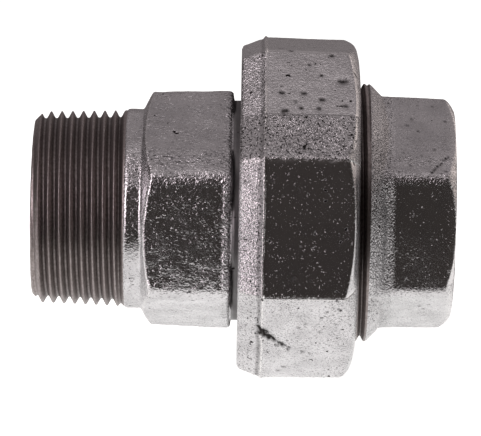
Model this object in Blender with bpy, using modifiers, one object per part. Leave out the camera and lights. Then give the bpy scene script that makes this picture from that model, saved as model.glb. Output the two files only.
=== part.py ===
"""Pipe union, 1 1/4 inch, male by female, flat seat, hot dip galvanised malleable iron.

Each piece is modelled upright: the water way runs up Z, the male end face is at height 0 and the
female end face is at height LENGTH. The empty that carries the pieces lays them down, so that the
union rests on one flat of its nut. Laid down, the water way runs along X with the female end at
+X, Z = 0 is the surface under the nut and X = 0 is mid length.

The nut's lip hangs behind the tailpiece's flange. Screwed onto the body, it presses the flange's
flat face and the body's flat face on the gasket between them.
"""

import math

import bmesh
import bpy
from mathutils import Matrix

MM = 0.001
STEPS = 32

# Whole union
LENGTH = 90.0 * MM
AXIS_HEIGHT = 34.1 * MM
CORE_BORE = 12.0 * MM
BLANK_BORE = 10.0 * MM
CUTTER_BORE = 5.0 * MM
BLANK_START = math.radians(3.0)
BORE_START = math.radians(5.0)
THREAD_START = math.radians(8.5)

# Pipe threads, 1 1/4 inch: 11 turns to the inch, male taper 1 in 16 on the diameter
PIPE_PITCH = 2.309 * MM
PIPE_CREST = 20.955 * MM
PIPE_DEPTH = 1.48 * MM
PIPE_CREST_WIDTH = 0.5 * MM
CREST_CLEARANCE = 0.2 * MM
PIPE_TAPER = 1 / 32
GAUGE_HEIGHT = 12.7 * MM
MALE_THREAD_END = 19.5 * MM
FEMALE_THREAD_START = 70.0 * MM

# Union thread, parallel, 2 mm pitch, with play between the nut and the body
UNION_PITCH = 2.0 * MM
BODY_THREAD_CREST = 27.8 * MM
BODY_THREAD_ROOT = 26.55 * MM
BODY_THREAD_END = 71.2 * MM
NUT_THREAD_CREST = 27.0 * MM
NUT_THREAD_ROOT = 28.2 * MM
UNION_CREST_WIDTH = 0.34 * MM
UNION_ROOT_WIDTH = 0.32 * MM

# Tailpiece
TAIL_TURN = math.radians(6.6)
TAIL_BORE = 17.0 * MM
TAIL_END_RADIUS = 18.8 * MM
COLLAR_RADIUS = 21.5 * MM
COLLAR_END = 23.5 * MM
TAIL_HEX_FLATS = (45.5 * MM, 46.55 * MM)
TAIL_HEX_END = 43.0 * MM
HEX_ROUNDING = 2.5 * MM
NECK_RADIUS = 25.7 * MM
FLANGE_RADIUS = 26.7 * MM
FLANGE_BACK = 48.15 * MM
TAIL_SEAT = 53.2 * MM

# Gasket, with the fit gap on both of its faces
FIT_GAP = 0.3 * MM
GASKET_THICKNESS = 2.0 * MM
GASKET_RADIUS = 26.4 * MM
GASKET_BORE = 18.6 * MM
GASKET_START = TAIL_SEAT + FIT_GAP

# Body
BODY_TURN = math.radians(4.5)
BODY_SEAT = GASKET_START + GASKET_THICKNESS + FIT_GAP
BODY_BORE = 18.0 * MM
RELIEF_RADIUS = 21.2 * MM
RELIEF_LENGTH = 2.5 * MM
SHOULDER_TOP = 25.2 * MM
SHOULDER_END = 75.0 * MM
BODY_HEX_START = 72.5 * MM
BODY_HEX_FLATS = (45.0 * MM, 44.2 * MM)
BODY_END_CHAMFER = 1.9 * MM

# Nut
NUT_START = 44.2 * MM
NUT_PARTING = 49.4 * MM
NUT_END = 69.5 * MM
NUT_FLATS = (66.5 * MM, 70.4 * MM, 69.75 * MM)
NUT_OFF_CENTRE = 1.1 * MM
NUT_ROUNDING = 1.6 * MM
LIP_RADIUS = 26.0 * MM
LIP_END = 48.0 * MM
LIP_CHAMFER = 0.9 * MM
NUT_RELIEF_RADIUS = 28.5 * MM
NUT_THREAD_START = 53.4 * MM
NUT_MOUTH_RADIUS = 28.8 * MM


def outward_mesh(name, bm):
    """The mesh of a closed bmesh, with its faces pointing out."""
    bmesh.ops.recalc_face_normals(bm, faces=bm.faces)
    mesh = bpy.data.meshes.new(name)
    bm.to_mesh(mesh)
    bm.free()
    return mesh


def add_object(name, mesh, collection):
    """An object of the mesh, carried by the empty on the union's axis."""
    obj = bpy.data.objects.new(name, mesh)
    obj.parent = bpy.data.objects["union_axis"]
    collection.objects.link(obj)
    return obj


def outline_mesh(name, outline):
    """A closed outline of (radius, height) points, drawn at +X."""
    mesh = bpy.data.meshes.new(name)
    count = len(outline)
    edges = [(i, (i + 1) % count) for i in range(count)]
    mesh.from_pydata([(radius, 0.0, height) for radius, height in outline], edges, [])
    return mesh


def add_screw(obj, pitch, turns):
    """Turns an outline about Z, rising by the pitch at each turn."""
    screw = obj.modifiers.new("turn", "SCREW")
    screw.axis = "Z"
    screw.screw_offset = pitch
    screw.iterations = turns
    screw.steps = STEPS
    screw.render_steps = STEPS
    screw.use_merge_vertices = pitch == 0.0
    screw.merge_threshold = 0.001 * MM


def add_turned(name, outer, bore, collection):
    """A turned ring: its outer side from top to bottom, and a plain bore."""
    outline = outer + [(bore, outer[-1][1]), (bore, outer[0][1])]
    obj = add_object(name, outline_mesh(name, outline), collection)
    add_screw(obj, 0.0, 1)
    return obj


def helix_mesh(name, outline, pitch, turns, radial_shift):
    """A closed right-hand helical bar. radial_shift gives the outward move at each height."""
    guide = add_object(name, outline_mesh(name, outline), bpy.context.scene.collection)
    add_screw(guide, pitch, turns)
    graph = bpy.context.evaluated_depsgraph_get()
    bm = bmesh.new()
    bm.from_mesh(guide.evaluated_get(graph).data)
    bpy.data.objects.remove(guide)
    open_ends = [edge for edge in bm.edges if edge.is_boundary]
    bmesh.ops.holes_fill(bm, edges=open_ends, sides=0)
    for vert in bm.verts:
        radius = math.hypot(vert.co.x, vert.co.y)
        grown = 1.0 + radial_shift(vert.co.z) / radius
        vert.co.x *= grown
        vert.co.y *= grown
    return outward_mesh(name, bm)


def prism_mesh(name, sides, stations, rounding):
    """A polygonal prism with one flat towards -Y, through (height, across flats) stations."""
    corner = 0.5 / math.cos(math.pi / sides)
    bm = bmesh.new()
    bmesh.ops.create_circle(
        bm,
        cap_ends=True,
        segments=sides,
        radius=stations[0][1] * corner,
        matrix=Matrix.Translation((0, 0, stations[0][0])) @ Matrix.Rotation(math.pi / sides, 4, "Z"),
    )
    base = end = bm.faces[:]
    for (low, flats), (high, next_flats) in zip(stations, stations[1:]):
        grown = bmesh.ops.extrude_face_region(bm, geom=end)["geom"]
        if end != base:
            bmesh.ops.delete(bm, geom=end, context="FACES_ONLY")
        end = [item for item in grown if isinstance(item, bmesh.types.BMFace)]
        rim = end[0].verts[:]
        bmesh.ops.translate(bm, verts=rim, vec=(0, 0, high - low))
        ratio = next_flats / flats
        bmesh.ops.scale(bm, verts=rim, vec=(ratio, ratio, 1.0))
    corners = [e for e in bm.edges if abs(e.verts[0].co.z - e.verts[1].co.z) > 0.01 * MM]
    offset = rounding * math.tan(math.pi / sides)
    bmesh.ops.bevel(bm, geom=corners, offset=offset, segments=3, profile=0.5, affect="EDGES")
    return outward_mesh(name, bm)


def combine(piece, operation, tool, start):
    """Joins, trims or cuts a piece with a tool, whose facets begin at the start angle."""
    tool.rotation_euler.z = start
    tool.hide_render = True
    tool.display_type = "WIRE"
    modifier = piece.modifiers.new(tool.name, "BOOLEAN")
    modifier.operation = operation
    modifier.object = tool


def groove_outline(crest, root, crest_width, root_width, pitch, height):
    """The outline of a thread groove at a height. It starts a little clear of the crest."""
    half = (pitch - crest_width) / 2
    half_root = root_width / 2
    clear = math.copysign(CREST_CLEARANCE, crest - root)
    mouth = half + (half - half_root) * clear / (crest - root)
    base = [(root, height - half_root), (root, height + half_root)]
    if root_width == 0.0:
        base = [(root, height)]
    if crest > root:
        return [(crest + clear, height + mouth), (crest + clear, height - mouth)] + base
    return base[::-1] + [(crest + clear, height - mouth), (crest + clear, height + mouth)]


def male_thread_cutter(cutters):
    """The taper thread's groove, which runs out at the collar."""

    def shift(height):
        run_out = max(0.0, height - MALE_THREAD_END + PIPE_PITCH / 2)
        return (height - GAUGE_HEIGHT) * PIPE_TAPER + run_out

    root = PIPE_CREST - PIPE_DEPTH
    start = -1.5 * PIPE_PITCH
    outline = groove_outline(PIPE_CREST, root, PIPE_CREST_WIDTH, 0.0, PIPE_PITCH, start)
    turns = math.ceil(MALE_THREAD_END / PIPE_PITCH) + 3
    mesh = helix_mesh("male_thread_groove", outline, PIPE_PITCH, turns, shift)
    return add_object("male_thread_groove", mesh, cutters)


def female_thread_cutter(cutters):
    """The parallel inside thread's groove, from the relief to past the end face."""
    crest = PIPE_CREST - PIPE_DEPTH
    start = FEMALE_THREAD_START - PIPE_PITCH / 2
    outline = groove_outline(crest, PIPE_CREST, PIPE_CREST_WIDTH, 0.0, PIPE_PITCH, start)
    turns = math.ceil((LENGTH - start) / PIPE_PITCH) + 1
    mesh = helix_mesh("female_thread_groove", outline, PIPE_PITCH, turns, lambda height: 0.0)
    return add_object("female_thread_groove", mesh, cutters)


def body_thread_cutter(cutters):
    """The union thread's groove on the body, which runs out at the shoulder."""

    def shift(height):
        return max(0.0, height - BODY_THREAD_END + UNION_PITCH / 4)

    start = BODY_SEAT - 1.5 * UNION_PITCH
    outline = groove_outline(
        BODY_THREAD_CREST, BODY_THREAD_ROOT, UNION_CREST_WIDTH, UNION_ROOT_WIDTH, UNION_PITCH, start
    )
    turns = math.ceil((BODY_THREAD_END - start) / UNION_PITCH) + 1
    mesh = helix_mesh("body_thread_groove", outline, UNION_PITCH, turns, shift)
    return add_object("body_thread_groove", mesh, cutters)


def nut_thread_cutter(cutters):
    """The union thread's groove in the nut, half a pitch from the groove on the body."""
    start = BODY_SEAT - 2.0 * UNION_PITCH
    outline = groove_outline(
        NUT_THREAD_CREST, NUT_THREAD_ROOT, UNION_CREST_WIDTH, UNION_ROOT_WIDTH, UNION_PITCH, start
    )
    turns = math.ceil((NUT_END - start) / UNION_PITCH) + 1
    mesh = helix_mesh("nut_thread_groove", outline, UNION_PITCH, turns, lambda height: 0.0)
    return add_object("nut_thread_groove", mesh, cutters)


def male_tailpiece(pieces, cutters):
    """Taper male thread, collar, hexagon, neck and the flange that the nut pulls on."""
    stations = [(COLLAR_END - 1 * MM, TAIL_HEX_FLATS[0]), (TAIL_HEX_END, TAIL_HEX_FLATS[1])]
    tail = add_object("male_tailpiece", prism_mesh("male_tailpiece", 6, stations, HEX_ROUNDING), pieces)
    tail.rotation_euler.z = TAIL_TURN
    chamfer = [
        (27.5 * MM, TAIL_HEX_END + 1 * MM),
        (27.5 * MM, COLLAR_END + 2.8 * MM),
        (21.0 * MM, COLLAR_END - 0.3 * MM),
    ]
    combine(tail, "INTERSECT", add_turned("tail_hex_chamfer", chamfer, BLANK_BORE, cutters), BLANK_START)
    crest_at_end = PIPE_CREST - GAUGE_HEIGHT * PIPE_TAPER
    crest_at_collar = crest_at_end + MALE_THREAD_END * PIPE_TAPER
    core = [
        (FLANGE_RADIUS - 0.4 * MM, TAIL_SEAT),
        (FLANGE_RADIUS, TAIL_SEAT - 0.4 * MM),
        (FLANGE_RADIUS, FLANGE_BACK + FLANGE_RADIUS - NECK_RADIUS),
        (NECK_RADIUS, FLANGE_BACK),
        (NECK_RADIUS, TAIL_HEX_END + 0.6 * MM),
        (NECK_RADIUS - 0.8 * MM, TAIL_HEX_END - 0.4 * MM),
        (NECK_RADIUS - 3.2 * MM, TAIL_HEX_END - 1.8 * MM),
        (COLLAR_RADIUS, TAIL_HEX_END - 3 * MM),
        (COLLAR_RADIUS, MALE_THREAD_END + 0.4 * MM),
        (crest_at_collar, MALE_THREAD_END),
        (crest_at_end + 1.8 * MM * PIPE_TAPER, 1.8 * MM),
        (TAIL_END_RADIUS, 0.0),
    ]
    combine(tail, "UNION", add_turned("tail_core", core, CORE_BORE, cutters), BLANK_START)
    bore = [(TAIL_BORE, TAIL_SEAT + 1 * MM), (TAIL_BORE, -1 * MM)]
    combine(tail, "DIFFERENCE", add_turned("tail_bore", bore, CUTTER_BORE, cutters), BORE_START)
    combine(tail, "DIFFERENCE", male_thread_cutter(cutters), THREAD_START)
    return tail


def female_body(pieces, cutters):
    """Flat seat, union thread, cone shoulder and the hexagon around the inside pipe thread."""
    stations = [(BODY_HEX_START, BODY_HEX_FLATS[0]), (LENGTH, BODY_HEX_FLATS[1])]
    body = add_object("female_body", prism_mesh("female_body", 6, stations, HEX_ROUNDING), pieces)
    body.rotation_euler.z = BODY_TURN
    chamfer = [
        (22.0 * MM, LENGTH + 0.1 * MM),
        (26.5 * MM, LENGTH - BODY_END_CHAMFER - 0.7 * MM),
        (26.5 * MM, BODY_HEX_START - 1 * MM),
    ]
    combine(body, "INTERSECT", add_turned("body_hex_chamfer", chamfer, BLANK_BORE, cutters), BLANK_START)
    core = [
        (BODY_HEX_FLATS[0] / 2 - 1.2 * MM, SHOULDER_END + 2 * MM),
        (BODY_HEX_FLATS[0] / 2 - 0.2 * MM, SHOULDER_END + 0.6 * MM),
        (SHOULDER_TOP, SHOULDER_END - 0.6 * MM),
        (BODY_THREAD_CREST, BODY_THREAD_END + 0.5 * MM),
        (BODY_THREAD_CREST, BODY_SEAT + 1.4 * MM),
        (BODY_THREAD_CREST - 1.4 * MM, BODY_SEAT),
    ]
    combine(body, "UNION", add_turned("body_core", core, CORE_BORE, cutters), BLANK_START)
    crest = PIPE_CREST - PIPE_DEPTH
    relief = FEMALE_THREAD_START - RELIEF_LENGTH
    bore = [
        (RELIEF_RADIUS + 1 * MM, LENGTH + 1 * MM),
        (crest, LENGTH - RELIEF_RADIUS + crest),
        (crest, FEMALE_THREAD_START + RELIEF_RADIUS - crest),
        (RELIEF_RADIUS, FEMALE_THREAD_START),
        (RELIEF_RADIUS, relief),
        (BODY_BORE, relief - RELIEF_RADIUS + BODY_BORE),
        (BODY_BORE, BODY_SEAT - 1 * MM),
    ]
    combine(body, "DIFFERENCE", add_turned("body_bore", bore, CUTTER_BORE, cutters), BORE_START)
    combine(body, "DIFFERENCE", female_thread_cutter(cutters), THREAD_START)
    combine(body, "DIFFERENCE", body_thread_cutter(cutters), THREAD_START)
    return body


def union_nut(pieces, cutters):
    """Drafted octagon with an inward lip at one end and the union thread in the other.

    The casting was held a little off centre, so its bore and thread are off its own middle.
    """
    stations = [(NUT_START, NUT_FLATS[0]), (NUT_PARTING, NUT_FLATS[1]), (NUT_END, NUT_FLATS[2])]
    casting = prism_mesh("union_nut", 8, stations, NUT_ROUNDING)
    casting.transform(Matrix.Translation((-NUT_OFF_CENTRE, 0.0, 0.0)))
    nut = add_object("union_nut", casting, pieces)
    chamfer = [
        (28.6 * MM, NUT_END + 0.5 * MM),
        (34.4 * MM, NUT_END - 0.7 * MM),
        (39.0 * MM, NUT_END - 3.4 * MM),
        (39.0 * MM, NUT_START - 1 * MM),
    ]
    combine(nut, "INTERSECT", add_turned("nut_chamfer", chamfer, BLANK_BORE, cutters), BLANK_START)
    lip = [
        (NUT_RELIEF_RADIUS, NUT_THREAD_START),
        (NUT_RELIEF_RADIUS, LIP_END + NUT_RELIEF_RADIUS - LIP_RADIUS),
        (LIP_RADIUS, LIP_END),
        (LIP_RADIUS, NUT_START + LIP_CHAMFER),
        (LIP_RADIUS + LIP_CHAMFER + 1 * MM, NUT_START - 1 * MM),
    ]
    thread = [
        (NUT_MOUTH_RADIUS + 1 * MM, NUT_END + 1 * MM),
        (NUT_THREAD_CREST, NUT_END - NUT_MOUTH_RADIUS + NUT_THREAD_CREST),
        (NUT_THREAD_CREST, NUT_THREAD_START + NUT_RELIEF_RADIUS - NUT_THREAD_CREST),
    ]
    combine(nut, "DIFFERENCE", add_turned("nut_bore", thread + lip, CUTTER_BORE, cutters), BORE_START)
    combine(nut, "DIFFERENCE", nut_thread_cutter(cutters), THREAD_START)
    return nut


def gasket(pieces):
    """The flat ring between the two seats."""
    outer = [(GASKET_RADIUS, GASKET_START + GASKET_THICKNESS), (GASKET_RADIUS, GASKET_START)]
    return add_turned("gasket", outer, GASKET_BORE, pieces)


def add_material(obj, name, colour, metallic, roughness):
    """Gives an object its own Principled material."""
    material = bpy.data.materials.new(name)
    material.use_nodes = True
    shader = material.node_tree.nodes["Principled BSDF"]
    shader.inputs["Base Color"].default_value = (*colour, 1.0)
    shader.inputs["Metallic"].default_value = metallic
    shader.inputs["Roughness"].default_value = roughness
    obj.data.materials.append(material)
    obj.data.shade_smooth()
    obj.data.set_sharp_from_angle(angle=math.radians(25))


def new_collection(name):
    """A collection in the scene."""
    collection = bpy.data.collections.new(name)
    bpy.context.scene.collection.children.link(collection)
    return collection


def main():
    """Builds the four pieces on the laid-down axis."""
    for obj in list(bpy.data.objects):
        bpy.data.objects.remove(obj)
    pieces = new_collection("pipe_union")
    cutters = new_collection("cutters")
    axis = bpy.data.objects.new("union_axis", None)
    axis.location = (-LENGTH / 2, 0.0, AXIS_HEIGHT)
    axis.rotation_euler.y = math.pi / 2
    pieces.objects.link(axis)
    add_material(male_tailpiece(pieces, cutters), "tailpiece_zinc", (0.20, 0.19, 0.20), 0.9, 0.55)
    add_material(union_nut(pieces, cutters), "nut_zinc", (0.20, 0.19, 0.20), 0.9, 0.55)
    add_material(female_body(pieces, cutters), "body_zinc", (0.20, 0.19, 0.20), 0.9, 0.55)
    add_material(gasket(pieces), "gasket_fibre", (0.06, 0.16, 0.09), 0.0, 0.8)


main()
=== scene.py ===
"""Pipe union, 1 1/4 inch, male by female, in hot dip galvanised malleable iron, laid on a pale table.

Each piece starts as a plain ring, turned on its own axis, whose wall runs from a bore to an outside.
The piece's class then moves every point of that ring to the radius which its casting, turning and
thread cutting give at that angle and height, and lays the ring down on the union's axis.
"""

import logging
import math
import random
from dataclasses import dataclass
from enum import IntEnum
from functools import partial
from typing import Any, Callable, Dict, List, Sequence, Tuple

import bmesh
import bpy
from mathutils import Matrix, Vector, noise
from mathutils.kdtree import KDTree


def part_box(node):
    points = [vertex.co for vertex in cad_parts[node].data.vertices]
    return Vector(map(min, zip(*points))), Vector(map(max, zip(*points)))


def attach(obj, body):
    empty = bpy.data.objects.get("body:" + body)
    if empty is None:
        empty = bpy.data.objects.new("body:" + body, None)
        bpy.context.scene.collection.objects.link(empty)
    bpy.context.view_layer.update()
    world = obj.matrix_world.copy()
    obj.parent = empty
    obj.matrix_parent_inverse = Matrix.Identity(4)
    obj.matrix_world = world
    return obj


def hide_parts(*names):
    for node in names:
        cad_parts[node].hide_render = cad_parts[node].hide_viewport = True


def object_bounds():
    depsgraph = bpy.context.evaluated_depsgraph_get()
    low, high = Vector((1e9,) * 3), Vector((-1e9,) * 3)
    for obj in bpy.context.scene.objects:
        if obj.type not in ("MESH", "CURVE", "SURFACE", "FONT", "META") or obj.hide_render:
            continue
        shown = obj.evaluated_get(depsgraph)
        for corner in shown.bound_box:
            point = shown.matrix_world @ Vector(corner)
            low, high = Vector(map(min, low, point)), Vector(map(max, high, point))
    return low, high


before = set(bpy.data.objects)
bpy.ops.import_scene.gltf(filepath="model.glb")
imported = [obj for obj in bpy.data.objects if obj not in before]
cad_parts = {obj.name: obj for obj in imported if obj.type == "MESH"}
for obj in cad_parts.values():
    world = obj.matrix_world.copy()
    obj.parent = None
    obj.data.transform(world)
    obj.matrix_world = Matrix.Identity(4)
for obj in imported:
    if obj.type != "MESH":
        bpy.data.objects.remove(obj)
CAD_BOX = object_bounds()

LOG = logging.getLogger("pipe_union")

MM = 0.001
TURN = 2.0 * math.pi
# The plain ring before it is shaped, and how near its bore or outside counts as on it
BLANK_BORE = 20.0 * MM
BLANK_WALL = 20.0 * MM
SNAP = 0.001

# A point's radius, wear and painted light, and painted shade, or another three numbers that belong together
Reading = Tuple[float, float, float]
# Heights with the radius, or with the distance across the flats, that each has
Profile = Sequence[Tuple[float, float]]

NOTHING: Reading = (0.0, 0.0, 0.0)


class Finish(IntEnum):
    """How a stretch of a metal piece was made; also its place in the piece's material list."""

    CAST = 0
    THREAD = 1
    TURNED = 2


# ---------------------------------------------------------------------------------------------
# Small sums used by every piece
# ---------------------------------------------------------------------------------------------


def linear(hex_code: str) -> Tuple[float, float, float, float]:
    """Turns an sRGB hex code into the linear colour that a shader socket takes.

    Args:
        hex_code: Six hex digits, with or without a leading hash.

    Returns:
        Linear red, green, blue and an alpha of 1.
    """
    digits = hex_code.lstrip("#")
    channels = [int(digits[i : i + 2], 16) / 255.0 for i in (0, 2, 4)]
    curved = [c / 12.92 if c <= 0.04045 else ((c + 0.055) / 1.055) ** 2.4 for c in channels]
    return (curved[0], curved[1], curved[2], 1.0)


def in_mm(*points: Tuple[float, float]) -> Profile:
    """A profile, or the flats of a prism, from pairs in millimetres."""
    return tuple((height * MM, across * MM) for height, across in points)


def clamp(value: float, low: float = 0.0, high: float = 1.0) -> float:
    """Keeps a value between two limits."""
    return max(low, min(high, value))


def ease(value: float, start: float, end: float) -> float:
    """Rises smoothly from 0 at start to 1 at end."""
    share = clamp((value - start) / (end - start))
    return share * share * (3.0 - 2.0 * share)


def bell(distance: float, width: float) -> float:
    """A smooth hump: 1 at no distance, near 0 at twice the width."""
    return math.exp(-((distance / width) ** 2))


def soft_min(a: float, b: float, blend: float) -> float:
    """The smaller of two radii, with the edge between them rounded over the blend."""
    gap = max(blend - abs(a - b), 0.0)
    return min(a, b) - gap * gap / (4.0 * blend)


def soft_max(a: float, b: float, blend: float) -> float:
    """The larger of two radii, with a fillet between them over the blend."""
    gap = max(blend - abs(a - b), 0.0)
    return max(a, b) + gap * gap / (4.0 * blend)


def along(profile: Profile, height: float) -> float:
    """Reads a radius from a profile.

    Args:
        profile: (height, radius) pairs, in rising height.
        height: Where to read.

    Returns:
        The radius there, and the end radius outside the profile.
    """
    if height <= profile[0][0]:
        return profile[0][1]
    for (low, first), (high, second) in zip(profile, profile[1:]):
        if height <= high:
            return first + (second - first) * (height - low) / (high - low)
    return profile[-1][1]


def rounded_end(height: float, end: float, radius: float) -> float:
    """How far a rounded edge cuts back a wall near an end face.

    Args:
        height: Where on the wall.
        end: Height of the end face.
        radius: The edge's rounding.

    Returns:
        The cut back: the whole radius at the face, and none a radius away from it.
    """
    inward = radius - min(abs(height - end), radius)
    return radius - math.sqrt(max(radius * radius - inward * inward, 0.0))


def on_piece(radius: float, angle: float, height: float) -> Vector:
    """The point of an upright piece at a radius, angle and height."""
    return Vector((radius * math.cos(angle), radius * math.sin(angle), height))


def ragged_at(angle: float, height: float) -> float:
    """How uneven a cut thread is at a place, from -1 to 1."""
    at = on_piece(1.0, angle, 0.0)
    return noise.noise(Vector((at.x * 9.0, at.y * 9.0, height / (0.9 * MM))))


def cast_skin(point: Vector, rates: Reading, lengthen: float = 1.0) -> Reading:
    """Three sizes of unevenness in a sand casting's skin.

    Args:
        point: Where on the upright piece.
        rates: How many pebbles, grains of sand and swells there are to a metre.
        lengthen: Scale of the pebbles along the axis; below 1 draws them out.

    Returns:
        Pebble, sand and swell, each from -1 to 1.
    """
    drawn_out = Vector((point.x, point.y, point.z * lengthen))
    pebble, sand, swell = rates
    return noise.noise(drawn_out * pebble), noise.noise(point * sand), noise.noise(point * swell)


def facing(degrees: float) -> float:
    """The piece's angle that, laid down, looks up by so many degrees from level at -Y."""
    return -math.pi / 2.0 - math.radians(degrees)


def level_of(angle: float) -> float:
    """Degrees above -Y that a place round a laid down piece faces; the inverse of facing."""
    return math.degrees((-math.pi / 2.0 - angle + math.pi) % TURN - math.pi)


@dataclass(frozen=True)
class Prism:
    """A regular polygon with rounded corners and drafted sides.

    Attributes:
        sides: How many flats.
        flats: (height, distance across the flats) pairs.
        rounding: Radius of the corners.
        turn: Turn of the flat that faces -Y, in radians.
    """

    sides: int
    flats: Profile
    rounding: float
    turn: float = 0.0

    def from_flat(self, angle: float) -> float:
        """The angle away from the middle of the nearest flat."""
        sector = TURN / self.sides
        away = angle - self.turn + math.pi / 2.0
        return (away + sector / 2.0) % sector - sector / 2.0

    def radius(self, angle: float, height: float) -> float:
        """Distance from the axis to the polygon.

        Args:
            angle: Angle about the axis.
            height: Height, which sets the draft.

        Returns:
            The radius on the flat, or on the corner's arc.
        """
        away = abs(self.from_flat(angle))
        half = math.pi / self.sides
        flat = along(self.flats, height) / 2.0
        tangent = math.atan((flat - self.rounding) * math.tan(half) / flat)
        if away <= tangent:
            return flat / math.cos(away)
        centre = (flat - self.rounding) / math.cos(half)
        off = half - away
        reach = self.rounding**2 - (centre * math.sin(off)) ** 2
        return centre * math.cos(off) + math.sqrt(max(reach, 0.0))

    def place(self, level: float, height: float) -> Vector:
        """The point of the polygon at so many degrees up from level at -Y."""
        angle = facing(level)
        return on_piece(self.radius(angle, height), angle, height)

    def crowd(self, angle: float, strength: float) -> float:
        """Moves a column of points towards the nearest corner, which needs them most."""
        return angle + strength / self.sides * math.sin(self.sides * self.from_flat(angle))


@dataclass(frozen=True)
class Thread:
    """A right-hand thread with flat, slightly rounded crests and roots.

    Attributes:
        pitch: Distance from crest to crest.
        depth: Crest to root.
        groove: Height of one groove's middle at the start angle.
        crest_flat: Width of the crest.
        root_flat: Width of the root.
        start: Angle at which the groove height holds.
    """

    pitch: float
    depth: float
    groove: float
    crest_flat: float
    root_flat: float
    start: float = math.radians(8.5)

    def filled(self, angle: float, height: float) -> float:
        """The thread's form: 0 in the root and 1 on the crest.

        Args:
            angle: Angle about the axis.
            height: Height along it.

        Returns:
            The share of the depth that metal fills.
        """
        turns = (height - self.groove) / self.pitch - (angle - self.start) / TURN
        off_crest = abs((turns % 1.0) - 0.5) * self.pitch
        flank = (self.pitch - self.crest_flat - self.root_flat) / 2.0
        share = 1.0 - (off_crest - self.crest_flat / 2.0) / flank
        return soft_max(soft_min(share, 1.0, 0.12), 0.0, 0.2)


# ---------------------------------------------------------------------------------------------
# Finishes
# ---------------------------------------------------------------------------------------------

# Settings that several nodes share
MULTIPLY: Dict[str, Any] = {"operation": "MULTIPLY"}
SUBTRACT: Dict[str, Any] = {"operation": "SUBTRACT"}
ADD: Dict[str, Any] = {"operation": "ADD", "use_clamp": True}
SMOOTH: Dict[str, Any] = {"interpolation_type": "SMOOTHSTEP", "clamp": True}
COLOURS: Dict[str, Any] = {"data_type": "RGBA", "out": 2}


def add_node(tree: bpy.types.NodeTree, kind: str, inputs: Any, out: Any = 0, **settings: Any) -> Any:
    """Adds a node with its settings, values and links.

    Args:
        tree: The material's or world's node tree.
        kind: The node's type, without the ShaderNode that all the names start with.
        inputs: Values and the sockets that feed it, in order or by socket name or number.
        out: Name or number of the output that is wanted.
        **settings: The node's own properties.

    Returns:
        The wanted output's socket, or None from a node that has no outputs.
    """
    made = tree.nodes.new("ShaderNode" + kind)
    for key, value in settings.items():
        setattr(made, key, value)
    for key, value in inputs.items() if isinstance(inputs, dict) else enumerate(inputs):
        if isinstance(value, bpy.types.NodeSocket):
            tree.links.new(value, made.inputs[key])
        else:
            made.inputs[key].default_value = value
    return made.outputs[out] if made.outputs else None


def per_size(size: float) -> float:
    """A texture's scale for features of a size in metres."""
    return 1.0 / size


def new_material(name: str) -> Tuple[bpy.types.Material, Callable[..., Any]]:
    """An empty node material, and add_node for its tree."""
    material = bpy.data.materials.new(name)
    material.use_nodes = True
    material.node_tree.nodes.clear()
    return material, partial(add_node, material.node_tree)


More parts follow.
